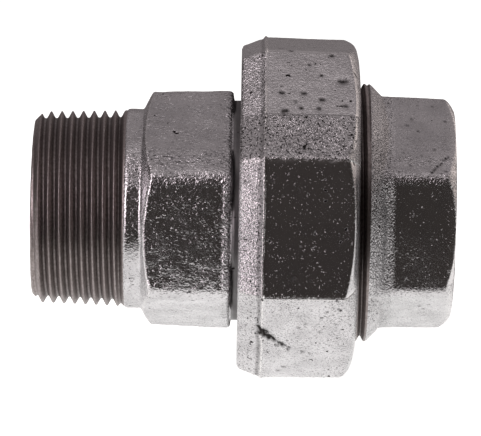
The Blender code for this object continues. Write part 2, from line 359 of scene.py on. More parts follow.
@dataclass(frozen=True)
class DippedZinc:
    """Hot dip zinc over a sand casting: a glossy skin on a grainy, pitted surface.

    The skin is shiny close up, and the sand's grain turns it into bright and dark flecks. Small
    pits hold dross and look black. Moulding sand is 0.1 to 0.3 mm, and its grain is drawn as
    coarse as it needs to be to show.

    Attributes:
        name: The finish's name.
        grain: Size of the sand's grain.
        grain_depth: Height of the grain.
        stretch: How far the grain is drawn out along the casting.
        fleck_start: How much of the surface stays between flecks; lower gives more flecks.
        pit_start: How rare the pits are; lower gives more pits.
        cloud: Size of the light and dull patches.
        swell: Size of the zinc's own runs and ripples.
        pit: Size of the pits.
        fleck_edge: How soft the flecks' edges are, and pit_edge the same of the pits.
        dross_roughness: How much rougher dross is than zinc.
        grain_height: Height of the coarsest grain, as a share of grain_depth; the same goes for
            swell_height, fleck_height and pit_height.
    """

    name: str
    grain: float
    grain_depth: float
    stretch: float
    fleck_start: float
    pit_start: float
    cloud: float = 5.0 * MM
    swell: float = 1.6 * MM
    pit: float = 1.1 * MM
    fleck_edge: float = 0.12
    pit_edge: float = 0.05
    dross_roughness: float = 0.35
    grain_height: float = 2.4
    swell_height: float = 0.08
    fleck_height: float = 0.10
    pit_height: float = 0.25
    light_zinc: str = "#CBCACB"
    dull_zinc: str = "#BCBBBC"
    # Dross in pits, and the colour of the painted shade
    dross_and_painted_shade: str = "#2B2827"
    # Bare worn edges, and the colour of the painted light on the nut's upper side
    bare_edge_and_painted_light: str = "#E2E1E0"

    def make(self) -> bpy.types.Material:
        """Builds the material."""
        material, add = new_material(self.name)
        place = add("TexCoord", (), out="Object")
        place = add("Mapping", {"Vector": place, "Scale": (self.stretch, 1.0, 1.0)})
        layers = ("wear_and_painted_light", "painted_shade", "coarse")
        wear_and_painted_light, painted_shade, coarse = [add("Attribute", (), out="Fac", attribute_name=name) for name in layers]

        patches = {"Vector": place, "Scale": per_size(self.cloud), "Detail": 3.0}
        sand = {"Vector": place, "Scale": per_size(self.grain), "Detail": 2.0, "Roughness": 0.55}
        ripples = {"Vector": place, "Scale": per_size(self.swell), "Detail": 3.0, "Roughness": 0.6}
        holes = {"Vector": place, "Scale": per_size(self.pit), "Detail": 2.0, "Distortion": 0.3}
        cloud, grain, swell, pits = [add("TexNoise", texture) for texture in (patches, sand, ripples, holes)]
        bright_sand = {"Vector": place, "Scale": per_size(self.grain * 0.9), "Detail": 1.0, "W": 4.0}
        flecks = add("TexNoise", bright_sand, noise_dimensions="4D")

        raised = add("MapRange", (flecks, self.fleck_start, self.fleck_start + self.fleck_edge), **SMOOTH)
        pit = add("MapRange", (pits, self.pit_start, self.pit_start + self.pit_edge), **SMOOTH)
        pore = add("MapRange", (flecks, 0.47, 0.33, 0.0, 1.3), **SMOOTH)
        pore = add("Math", (pore, coarse), **MULTIPLY)
        # Pits and pores, and painted shade in grooves, recesses and hollows, darken the colour.
        dark = add("Math", (add("Math", (pit, painted_shade), **ADD), pore), **ADD)

        share = add("MapRange", (cloud, 0.35, 0.65), **SMOOTH)
        skin = add("Mix", {0: share, 6: linear(self.dull_zinc), 7: linear(self.light_zinc)}, **COLOURS)
        # Wear brightens edges, flash and crests; on the nut's upper side it is painted light.
        worn = add("Mix", {0: wear_and_painted_light, 6: skin, 7: linear(self.bare_edge_and_painted_light)}, **COLOURS)
        colour = add("Mix", {0: dark, 6: worn, 7: linear(self.dross_and_painted_shade)}, **COLOURS)
        gloss = add("MapRange", (cloud, 0.3, 0.7, 0.24, 0.18), **SMOOTH)
        gloss = add("Math", (gloss, add("Math", (dark, self.dross_roughness), **MULTIPLY)), **ADD)

        hills = add("Math", (grain, add("Math", (coarse, self.grain_height), **MULTIPLY)), **MULTIPLY)
        for part, height, step in (
            (swell, self.swell_height, ADD),
            (raised, self.fleck_height, ADD),
            (pit, self.pit_height, SUBTRACT),
        ):
            hills = add("Math", (hills, add("Math", (part, height), **MULTIPLY)), **step)
        normal = add("Bump", {"Height": hills, "Distance": self.grain_depth, "Strength": 1.0})
        looks = {"Base Color": colour, "Metallic": 1.0, "Roughness": gloss, "Normal": normal}
        add("OutputMaterial", [add("BsdfPrincipled", looks)])
        return material


@dataclass(frozen=True)
class CutIron:
    """Thread cut into the casting after dipping: bare iron, with painted shade dark in the grooves.

    The tool leaves fine rings, and the crests are rubbed brighter than the flanks.

    Attributes:
        name: The finish's name.
        streak: Width of the tool's rings, drawn as wide as they need to be to show.
        round_off: Scale of the rings round the axis; low draws them out into rings.
        speck: Size of the specks in the iron.
        tool_depth: Depth of the rings and specks.
    """

    name: str
    streak: float = 0.25 * MM
    round_off: float = 0.06
    speck: float = 0.6 * MM
    tool_depth: float = 0.035 * MM
    oiled: str = "#857D7B"
    brighter: str = "#98918F"
    rubbed: str = "#8D8684"
    # The colour of the painted shade in the thread's roots
    dross_and_painted_shade: str = "#1E1B1A"

    def make(self) -> bpy.types.Material:
        """Builds the material."""
        material, add = new_material(self.name)
        place = add("TexCoord", (), out="Object")
        ringed = add("Mapping", {"Vector": place, "Scale": (1.0, self.round_off, self.round_off)})
        rings = add("TexNoise", {"Vector": ringed, "Scale": per_size(self.streak), "Detail": 2.0})
        specks = add("TexNoise", {"Vector": place, "Scale": per_size(self.speck), "Detail": 3.0})
        wear_and_painted_light, painted_shade = [add("Attribute", (), out="Fac", attribute_name=name) for name in ("wear_and_painted_light", "painted_shade")]
        share = add("MapRange", (specks, 0.4, 0.62), **SMOOTH)
        base = add("Mix", {0: share, 6: linear(self.oiled), 7: linear(self.brighter)}, **COLOURS)
        patchy = add("MapRange", (specks, 0.3, 0.6, 0.35, 1.0), **SMOOTH)
        patchy = add("Math", (wear_and_painted_light, patchy), **MULTIPLY)
        rubbed = add("Mix", {0: patchy, 6: base, 7: linear(self.rubbed)}, **COLOURS)
        # Painted shade darkens the thread's roots.
        colour = add("Mix", {0: painted_shade, 6: rubbed, 7: linear(self.dross_and_painted_shade)}, **COLOURS)
        gloss = add("MapRange", (specks, 0.3, 0.7, 0.52, 0.38), **SMOOTH)
        height = add("Math", (add("Math", (rings, 0.5), **MULTIPLY), specks), **ADD)
        normal = add("Bump", {"Height": height, "Distance": self.tool_depth, "Strength": 1.0})
        looks = {"Base Color": colour, "Metallic": 1.0, "Roughness": gloss, "Normal": normal}
        add("OutputMaterial", [add("BsdfPrincipled", looks)])
        return material


@dataclass(frozen=True)
class TurnedFace:
    """A faced seat: bright turned iron with the lathe's fine rings and a few grey stains.

    Attributes:
        name: The finish's name.
        ring: Spacing of the lathe's rings, drawn as coarse as they need to be to show.
        stain: Size of the stains.
        ring_depth: Depth of the rings.
    """

    name: str
    ring: float = 0.3 * MM
    stain: float = 4.0 * MM
    ring_depth: float = 0.012 * MM
    bright: str = "#B9B4B1"
    stained: str = "#8B8583"

    def make(self) -> bpy.types.Material:
        """Builds the material."""
        material, add = new_material(self.name)
        place = add("TexCoord", (), out="Object")
        lift = (CAD_BOX[0].z + CAD_BOX[1].z) / 2.0
        centred = add("Mapping", {"Vector": place, "Location": (0.0, 0.0, -lift)})
        lathe = {"Vector": centred, "Scale": per_size(self.ring) / 3.2, "Distortion": 0.4}
        rings = add("TexWave", lathe, out="Fac", wave_type="RINGS", rings_direction="X")
        stains = add("TexNoise", {"Vector": centred, "Scale": per_size(self.stain), "Detail": 5.0})
        share = add("MapRange", (stains, 0.45, 0.65), **SMOOTH)
        colour = add("Mix", {0: share, 6: linear(self.bright), 7: linear(self.stained)}, **COLOURS)
        gloss = add("MapRange", (stains, 0.3, 0.7, 0.2, 0.4), **SMOOTH)
        normal = add("Bump", {"Height": rings, "Distance": self.ring_depth, "Strength": 0.8})
        looks = {"Base Color": colour, "Metallic": 1.0, "Roughness": gloss, "Normal": normal}
        add("OutputMaterial", [add("BsdfPrincipled", looks)])
        return material


@dataclass(frozen=True)
class PressedFibre:
    """Pressed fibre sheet: a dull green board flecked with pale and dark strands.

    Attributes:
        name: The finish's name.
        strand: Length of a strand.
        slimness: Width of a strand, as a share of its length.
        weave_depth: How far the strands stand out.
    """

    name: str
    strand: float = 1.6 * MM
    slimness: float = 0.22
    weave_depth: float = 0.05 * MM
    board: str = "#3F5A49"
    pale: str = "#8C9A84"
    dark: str = "#24352B"

    def make(self) -> bpy.types.Material:
        """Builds the material."""
        material, add = new_material(self.name)
        place = add("TexCoord", (), out="Object")
        strands = []
        for drawn_out in ((1.0, self.slimness, 1.0), (1.0, 1.0, self.slimness)):
            laid = add("Mapping", {"Vector": place, "Scale": drawn_out})
            size = per_size(self.strand / 6.0)
            strands.append(add("TexNoise", {"Vector": laid, "Scale": size, "Detail": 2.0}))
        light = add("MapRange", (strands[0], 0.58, 0.68, 0.0, 0.75), **SMOOTH)
        shade = add("MapRange", (strands[1], 0.56, 0.68, 0.0, 0.8), **SMOOTH)
        colour = add("Mix", {0: light, 6: linear(self.board), 7: linear(self.pale)}, **COLOURS)
        colour = add("Mix", {0: shade, 6: colour, 7: linear(self.dark)}, **COLOURS)
        height = add("Math", strands, **ADD)
        normal = add("Bump", {"Height": height, "Distance": self.weave_depth, "Strength": 0.7})
        looks = {"Base Color": colour, "Roughness": 0.82, "Normal": normal}
        add("OutputMaterial", [add("BsdfPrincipled", looks)])
        return material


# ---------------------------------------------------------------------------------------------
# Pieces
# ---------------------------------------------------------------------------------------------


@dataclass(frozen=True)
class Run:
    """One straight side of the plain ring's section.

    Attributes:
        share: Place in the wall where the side ends: 0 at the bore and 1 outside.
        height: Height where the side ends.
        rows: Into how many rows of faces the side is divided.
    """

    share: float
    height: float
    rows: int


@dataclass
class RingPiece:
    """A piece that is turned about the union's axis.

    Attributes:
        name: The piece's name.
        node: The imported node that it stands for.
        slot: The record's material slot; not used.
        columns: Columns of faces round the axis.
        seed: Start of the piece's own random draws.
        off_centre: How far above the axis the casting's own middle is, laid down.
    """

    name: str
    node: str
    slot: str
    columns: int
    seed: int
    off_centre: float = 0.0

    def section(self) -> List[Run]:
        """The sides of the plain ring's section, in order, ending where they start."""
        raise NotImplementedError

    def outside(self, angle: float, height: float) -> Reading:
        """Radius, wear and painted light, and painted shade of the outer wall."""
        raise NotImplementedError

    def inside(self, angle: float, height: float) -> Reading:
        """Radius, wear and painted light, and painted shade of the bore."""
        raise NotImplementedError

    def finish_at(self, share: float, height: float) -> Finish:
        """The finish of a face at a place in the wall."""
        raise NotImplementedError

    def column_angle(self, angle: float) -> float:
        """Where a column of the plain ring goes. Plain round pieces leave it."""
        return angle

    def end_relief(self, share: float, angle: float, height: float) -> float:
        """How far a point of an end face stands off it. Most end faces are true."""
        return 0.0

    def coarse_at(self, angle: float, height: float) -> float:
        """How coarse the casting's skin is at a place, from 0 to 1."""
        return 0.0

    def carve(self, bm: bmesh.types.BMesh) -> None:
        """Cuts the piece's own marks. Most pieces have none."""

    def finishes(self) -> List[bpy.types.Material]:
        """The piece's materials, in the order of Finish."""
        raise NotImplementedError

    def blank(self) -> bmesh.types.BMesh:
        """Spins the plain ring.

        Returns:
            A closed ring, upright at the origin, with a row and column of points for each place.
        """
        bm = bmesh.new()
        runs = self.section()
        corners = [bm.verts.new((BLANK_BORE + run.share * BLANK_WALL, 0.0, run.height)) for run in runs]
        edges = [bm.edges.new((corners[index - 1], corner)) for index, corner in enumerate(corners)]
        for edge, run in zip(edges, runs):
            bmesh.ops.subdivide_edges(bm, edges=[edge], cuts=run.rows - 1)
        bmesh.ops.spin(
            bm,
            geom=bm.verts[:] + bm.edges[:],
            cent=(0.0, 0.0, 0.0),
            axis=(0.0, 0.0, 1.0),
            angle=TURN,
            steps=self.columns,
            use_merge=True,
        )
        bmesh.ops.remove_doubles(bm, verts=bm.verts[:], dist=0.001 * MM)
        return bm

    def shape(self, bm: bmesh.types.BMesh) -> None:
        """Moves every point of the plain ring to its place on the real piece.

        Args:
            bm: The plain ring.
        """
        for face in bm.faces:
            centre = face.calc_center_median()
            share = (math.hypot(centre.x, centre.y) - BLANK_BORE) / BLANK_WALL
            face.material_index = self.finish_at(share, centre.z)
            face.smooth = True
        # Colour layers: wear, with painted light on the nut's upper side; painted shade in grooves, roots,
        # recesses and hollows; coarseness.
        wear_and_painted_light_layer = bm.verts.layers.float.new("wear_and_painted_light")
        painted_shade_layer = bm.verts.layers.float.new("painted_shade")
        coarse_layer = bm.verts.layers.float.new("coarse")
        for vert in bm.verts:
            height = vert.co.z
            share = (math.hypot(vert.co.x, vert.co.y) - BLANK_BORE) / BLANK_WALL
            angle = self.column_angle(math.atan2(vert.co.y, vert.co.x))
            if share < SNAP or share > 1.0 - SNAP:
                share = float(round(share))
            inner = self.inside(angle, height) if share < 1.0 else NOTHING
            outer = self.outside(angle, height) if share > 0.0 else NOTHING
            radius = inner[0] + (outer[0] - inner[0]) * share
            vert[wear_and_painted_light_layer] = clamp(inner[1] + (outer[1] - inner[1]) * share)
            vert[painted_shade_layer] = clamp(inner[2] + (outer[2] - inner[2]) * share)
            vert[coarse_layer] = clamp(self.coarse_at(angle, height))
            vert.co = on_piece(radius, angle, height + self.end_relief(share, angle, height))
            vert.co.x -= self.off_centre * share

    def build(self, axis: Matrix) -> bpy.types.Object:
        """Makes the piece and lays it on the union's axis.

        Args:
            axis: Turns and moves an upright piece onto the union's axis.

        Returns:
            The finished object.
        """
        bm = self.blank()
        self.shape(bm)
        self.carve(bm)
        bmesh.ops.recalc_face_normals(bm, faces=bm.faces[:])
        bmesh.ops.transform(bm, matrix=axis, verts=bm.verts[:])
        mesh = bpy.data.meshes.new(self.name)
        bm.to_mesh(mesh)
        triangles = sum(len(face.verts) - 2 for face in bm.faces)
        bm.free()
        for material in self.finishes():
            mesh.materials.append(material)
        piece = bpy.data.objects.new(self.name, mesh)
        bpy.context.scene.collection.objects.link(piece)
        LOG.info("%s: %d triangles", self.name, triangles)
        return piece


@dataclass
class MaleTailpiece(RingPiece):
    """Taper male thread, collar, hexagon, round neck and the flange that the nut pulls on."""

    thread: Thread = Thread(2.309 * MM, 1.48 * MM, -3.4635 * MM, 0.26 * MM, 0.5 * MM)
    crest: float = 20.955 * MM
    gauge: float = 12.7 * MM
    taper: float = 1.0 / 32.0
    thread_end: float = 19.5 * MM
    hexagon_start: float = 22.0 * MM
    hexagon_end: float = 42.9 * MM
    recess: float = 42.6 * MM
    flange_face: float = 48.6 * MM
    bevel_radius: float = 18.8 * MM
    edge_rounding: float = 1.2 * MM
    cone_blend: float = 0.5 * MM
    root_fillet: float = 0.6 * MM
    skin_rates: Reading = (560.0, 1300.0, 130.0)
    bore: float = 17.0 * MM
    seat: float = 53.2 * MM
    hexagon: Prism = Prism(6, in_mm((22.5, 45.5), (43.0, 46.55)), 3.4 * MM, math.radians(6.6))
    chamfer: Profile = in_mm((22.0, 18.5), (23.2, 21.0), (26.3, 27.5))
    core: Profile = in_mm(
        (19.9, 21.5), (42.7, 21.5), (42.9, 23.7), (44.9, 23.7), (45.3, 25.7), (48.15, 25.7),
        (49.15, 26.7), (52.8, 26.7), (53.2, 26.3),
    )

    def section(self) -> List[Run]:
        """The ring's section, fine along the thread and even along the hexagon."""
        return [
            Run(0.0, 0.0, 10),
            Run(1.0, 0.0, 5),
            Run(1.0, self.thread_end + 0.6 * MM, 174),
            Run(1.0, 23.0 * MM, 8),
            Run(1.0, self.hexagon_end + 0.01 * MM, 66),
            Run(1.0, self.seat, 20),
            Run(0.0, self.seat, 5),
        ]

    def column_angle(self, angle: float) -> float:
        """Crowds the columns a little towards the hexagon's corners."""
        return self.hexagon.crowd(angle, 0.2)

    def finish_at(self, share: float, height: float) -> Finish:
        """Thread at the male end, turned metal at the seat and in the bore, casting between."""
        if share < 0.9:
            return Finish.TURNED if height > 1.0 * MM else Finish.THREAD
        if height > self.flange_face:
            return Finish.TURNED
        return Finish.THREAD if height < self.thread_end + 0.35 * MM else Finish.CAST

    def threaded(self, angle: float, height: float) -> Reading:
        """The male thread, worn at its start and running out at the collar."""
        ragged = ragged_at(angle, height)
        crest = self.crest + (height - self.gauge) * self.taper
        run_out = ease(height, self.thread_end - 1.3 * MM, self.thread_end + 0.5 * MM)
        depth = self.thread.depth * (1.0 - run_out)
        filled = self.thread.filled(angle, height)
        radius = crest - depth * (1.0 - filled) + 0.02 * MM * ragged * filled
        bevel = self.bevel_radius + height * (1.0 + 0.06 * ragged) + 0.06 * MM * ragged
        worn = 1.0 - ease(height, 1.2 * MM, 3.0 * MM)
        radius = soft_min(radius - 0.05 * MM * worn * abs(ragged), bevel, 0.3 * MM)
        wear_and_painted_light = ease(filled, 0.75, 0.98) * (0.55 + 0.45 * ragged) + 0.6 * worn * ease(ragged, -0.2, 0.5)
        # Painted shade in the thread's roots.
        painted_shade = 0.35 * (1.0 - ease(filled, 0.05, 0.6))
        return radius, wear_and_painted_light * 0.5, painted_shade * (1.0 - worn)

    def outside(self, angle: float, height: float) -> Reading:
        """Thread, then collar and hexagon, then neck and flange."""
        if height < self.thread_end + 0.3 * MM:
            return self.threaded(angle, height)
        core = along(self.core, height)
        if height < self.thread_end + 0.7 * MM:
            step = ease(height, self.thread_end + 0.3 * MM, self.thread_end + 0.7 * MM)
            thread_edge = self.threaded(angle, self.thread_end + 0.3 * MM)[0]
            core = thread_edge + (core - thread_edge) * step
        wear_and_painted_light = 0.0
        radius = core
        if self.hexagon_start < height < self.hexagon_end:
            flat = self.hexagon.radius(angle, height)
            flat -= rounded_end(height, self.hexagon_end, self.edge_rounding)
            cone = along(self.chamfer, height)
            rough_edge = 0.12 * MM * noise.noise(on_piece(23.0 * MM, angle, height) * 700.0)
            flat_end = soft_min(flat, cone + rough_edge, self.cone_blend)
            radius = soft_max(core, flat_end, self.root_fillet)
            wear_and_painted_light = 0.55 * bell(flat - cone, 0.35 * MM) * (height < 30.0 * MM)
        point = on_piece(radius, angle, height)
        calm = ease(height, self.thread_end + 0.4 * MM, self.thread_end + 1.5 * MM)
        calm *= 1.0 - ease(height, self.recess, 43.2 * MM)
        pebble, sand, swell = cast_skin(point, self.skin_rates, 0.62)
        hexed = ease(height, 23.0 * MM, 26.0 * MM)
        lift = (0.085 * hexed + 0.035) * pebble + 0.03 * sand + 0.10 * swell
        # Painted shade in the recess between the hexagon and the nut.
        shaded = 0.72 * ease(height, self.recess, self.hexagon_end)
        return radius + lift * MM * calm, wear_and_painted_light, shaded

    def coarse_at(self, angle: float, height: float) -> float:
        """Coarse low on the upper flat, on the rounded edges and in places on the collar."""
        level = level_of(angle)
        patch = noise.noise(on_piece(24.0 * MM, angle, height) * 160.0)
        edge = ease(abs(self.hexagon.from_flat(angle)), 0.40, 0.47)
        band = bell(level - 33.0, 9.0)
        collar = 0.16 * (height < 24.0 * MM)
        rim = ease(height, 40.2 * MM, 41.2 * MM)
        if height > self.hexagon_end:
            return 0.0
        flat = 0.2 if abs(level) > 30.0 else 0.15
        return max(0.3 * edge, 0.5 * band, collar, 0.4 * rim, flat) + 0.1 * patch

    def inside(self, angle: float, height: float) -> Reading:
        """The water way, with a small chamfer at both ends."""
        reach = min(height, self.seat - height)
        # Painted shade, darker deeper into the bore.
        painted_shade = ease(reach, 2.0 * MM, 12.0 * MM) * 0.6
        return self.bore + max(0.5 * MM - reach, 0.0), 0.0, painted_shade

    def end_relief(self, share: float, angle: float, height: float) -> float:
        """The sawn male end isn't quite true."""
        if height > 1.0 * MM or share < 0.02:
            return 0.0
        return 0.05 * MM * (1.0 + noise.noise(on_piece(20.0 * MM, angle, 0.0) * 500.0))

    def finishes(self) -> List[bpy.types.Material]:
        """Dipped casting, cut thread and turned seat."""
        return [
            DippedZinc("tailpiece_dipped_zinc", 0.48 * MM, 0.34 * MM, 0.7, 0.60, 0.70).make(),
            CutIron("tailpiece_cut_thread").make(),
            TurnedFace("tailpiece_turned_seat").make(),
        ]


@dataclass
class UnionNut(RingPiece):
    """Octagon, drafted both ways from the mould's parting line, with lip and thread inside.

    Each of blow_holes is a level in degrees, a height and a half length in millimetres. The flash
    and the groove beside it are in millimetres too. The band is the low part of the upper flat.
    """

    thread: Thread = Thread(2.0 * MM, 1.2 * MM, 51.8 * MM, 0.32 * MM, 0.34 * MM)
    start: float = 44.2 * MM
    parting: float = 49.4 * MM
    relief: float = 53.0 * MM
    thread_start: float = 55.2 * MM
    end: float = 69.5 * MM
    octagon: Prism = Prism(8, in_mm((44.2, 66.5), (49.4, 70.4), (69.5, 69.75)), 1.6 * MM)
    shoulder: Profile = in_mm(
        (65.6, 39.5), (66.6, 38.0), (67.5, 36.6), (68.3, 35.2), (68.9, 33.8), (69.3, 32.0),
        (69.5, 30.2),
    )
    thread_root: float = 28.2 * MM
    skin_rates: Reading = (620.0, 1250.0, 110.0)
    rounding: float = 0.7 * MM
    shoulder_blend: float = 0.9 * MM
    weakest_flash: float = 0.1
    strongest_flash: float = 0.34
    groove_depth: float = 0.15
    scattered_holes: int = 90
    band_holes: int = 260
    tear_steps: int = 26
    blow_holes: Tuple[Reading, ...] = (
        (55.8, 65.5, 1.35), (73.9, 52.5, 0.95), (68.0, 54.6, 0.8),
        (66.2, 63.2, 0.75), (57.9, 61.0, 0.5), (50.0, 52.7, 0.8),
        (50.2, 57.4, 0.7), (46.8, 55.6, 0.75), (47.7, 61.2, 0.8),
        (43.2, 60.5, 0.95), (45.5, 66.1, 0.95), (42.3, 53.5, 0.9),
        (43.4, 56.8, 0.7), (60.0, 68.3, 0.7), (62.0, 58.5, 0.5),
    )
    throat: Profile = in_mm(
        (44.2, 26.9), (45.1, 26.0), (48.0, 26.0), (50.5, 28.5), (53.4, 28.5), (55.2, 26.7),
    )

    def section(self) -> List[Run]:
        """The ring's section, finest at the parting line and in the thread."""
        return [
            Run(0.0, self.start, 10),
            Run(1.0, self.start, 9),
            Run(1.0, self.parting - 0.6 * MM, 15),
            Run(1.0, self.parting + 0.6 * MM, 10),
            Run(1.0, 65.8 * MM, 48),
            Run(1.0, self.end, 18),
            Run(0.0, self.end, 4),
            Run(0.0, self.thread_start, 100),
        ]

    def column_angle(self, angle: float) -> float:
        """Crowds the columns towards the octagon's corners."""
        return self.octagon.crowd(angle, 0.5)

    def finish_at(self, share: float, height: float) -> Finish:
        """Casting outside, thread inside."""
        if share > 0.5:
            return Finish.CAST
        if share > 0.02:
            return Finish.CAST if height < 60.0 * MM else Finish.TURNED
        return Finish.THREAD if height > self.relief else Finish.TURNED

    def coarse_at(self, angle: float, height: float) -> float:
        """Coarse on the mould's shallow side and low on one flat; the other flats are finer."""
        level = level_of(angle)
        patch = noise.noise(on_piece(35.0 * MM, angle, height) * 140.0)
        shallow = ease(height, self.parting + 0.3 * MM, self.parting - 0.3 * MM)
        band = ease(level, 22.6, 23.4) * ease(level, 40.6, 39.8)
        ground = 0.07 if abs(level) < 22.7 else 0.17
        if level < -22.7:
            ground = 0.3 + 0.2 * patch
        return max(0.42 * shallow, band * (0.8 + 0.3 * patch), ground)

    def outside(self, angle: float, height: float) -> Reading:
        """Drafted flats with a ridge of flash where the two halves of the mould met."""
        flat = self.octagon.radius(angle, height)
        flat -= rounded_end(height, self.start, self.rounding)
        radius = soft_min(flat, along(self.shoulder, height), self.shoulder_blend)
        point = on_piece(radius, angle, height)
        level = level_of(angle)
        pebble, sand, swell = cast_skin(point, self.skin_rates)
        sanded = 0.4 + 0.6 * ease(height, 47.5 * MM, 46.0 * MM)
        lift = 0.05 * sanded * pebble + 0.03 * sand + 0.09 * swell
        wander = 0.16 * MM * noise.noise(point * 420.0) + 0.1 * MM * swell
        height_off = height - self.parting - wander
        strength = ease(noise.noise(point * 210.0 + Vector((0.0, 0.0, 7.0))), -0.45, 0.1)
        ridge = self.weakest_flash + (self.strongest_flash - self.weakest_flash) * strength
        flash = ridge * bell(height_off, 0.3 * MM)
        groove = self.groove_depth * bell(height_off + 0.75 * MM, 0.35 * MM)
        corner = ease(abs(self.octagon.from_flat(angle)), 0.36, 0.39)
        wear_and_painted_light = 0.9 * flash / self.strongest_flash + 0.35 * corner
        # Painted light: the side that faces up is made a little lighter.
        wear_and_painted_light += 0.15 * ease(level, 2.2, 2.4)
        # Painted shadow in the groove beside the flash.
        return radius + (lift + flash - groove) * MM, wear_and_painted_light, 3.0 * groove

    def inside(self, angle: float, height: float) -> Reading:
        """The lip round the neck, the relief, then the union thread to the open mouth."""
        throat = along(self.throat, height)
        if height < self.relief:
            # Painted shade on the lip and the relief.
            return throat, 0.0, 0.5
        filled = self.thread.filled(angle, height)
        cut = self.thread_root - self.thread.depth * filled
        mouth = 28.8 * MM - (self.end - height)
        radius = max(cut, throat, mouth)
        # Painted shade in the thread's roots.
        return radius, 0.6 * ease(filled, 0.8, 1.0), 0.6 * (1.0 - filled)

    def carve(self, bm: bmesh.types.BMesh) -> None:
        """Cuts the casting's blow holes, and the tear beside the dressed-off gate, with painted shade on
        their floors.

        Args:
            bm: The shaped nut.
        """
        draw = random.Random(self.seed)
        marks = Marks(bm, self.off_centre)
        for _ in range(self.scattered_holes):
            level = draw.uniform(-180.0, 180.0)
            height = draw.uniform(50.6, 67.0)
            length = draw.uniform(0.3, 0.6)
            self.hole(marks, (level, height, length), length * draw.uniform(0.35, 0.6), 0.12, 0.6)
        for _ in range(self.band_holes):
            level = draw.uniform(22.8, 39.6)
            size = draw.uniform(0.18, 0.42) * (1.35 - level / 60.0)
            at = (level, draw.uniform(50.2, 68.0), size)
            self.hole(marks, at, size * draw.uniform(0.7, 1.2), draw.uniform(0.06, 0.15), 0.3)
        for hole in self.blow_holes:
            self.hole(marks, hole, hole[2] * 0.5, 0.3 * hole[2], 1.0)
        self.gate_tear(marks, draw)

    def hole(self, marks: "Marks", at: Reading, width: float, depth: float, painted_shade: float) -> None:
        """Cuts one hole into a flat.

        Args:
            marks: The tool that cuts into the nut.
            at: Degrees up from level at -Y, height in millimetres and half length in millimetres.
            width: Half its width, in millimetres.
            depth: Its depth, in millimetres.
            painted_shade: How much painted shade darkens its floor.
        """
        centre = self.octagon.place(at[0], at[1] * MM)
        marks.dent(centre, at[2] * MM, width * MM, depth * MM, painted_shade)

    def gate_tear(self, marks: "Marks", draw: random.Random) -> None:
        """Cuts the ragged tear left where the gate broke off, below a patch that was dressed, and paints
        shade in it.

        Args:
            marks: The tool that cuts into the nut.
            draw: The nut's random draws.
        """
        for step in range(self.tear_steps + 1):
            share = step / self.tear_steps
            level = -39.7 - 11.0 * share + draw.uniform(-1.1, 1.1)
            height = 48.5 + 6.3 * share + draw.uniform(-0.5, 0.5)
            width = draw.uniform(0.22, 0.6) * (1.4 if share < 0.4 else 0.85)
            self.hole(marks, (level, height, width), width, draw.uniform(0.15, 0.4), 1.0)

    def finishes(self) -> List[bpy.types.Material]:
        """Dipped casting, cut thread and turned lip."""
        return [
            DippedZinc("nut_dipped_zinc", 0.4 * MM, 0.34 * MM, 0.85, 0.64, 0.68).make(),
            CutIron("nut_cut_thread").make(),
            TurnedFace("nut_turned_lip").make(),
        ]


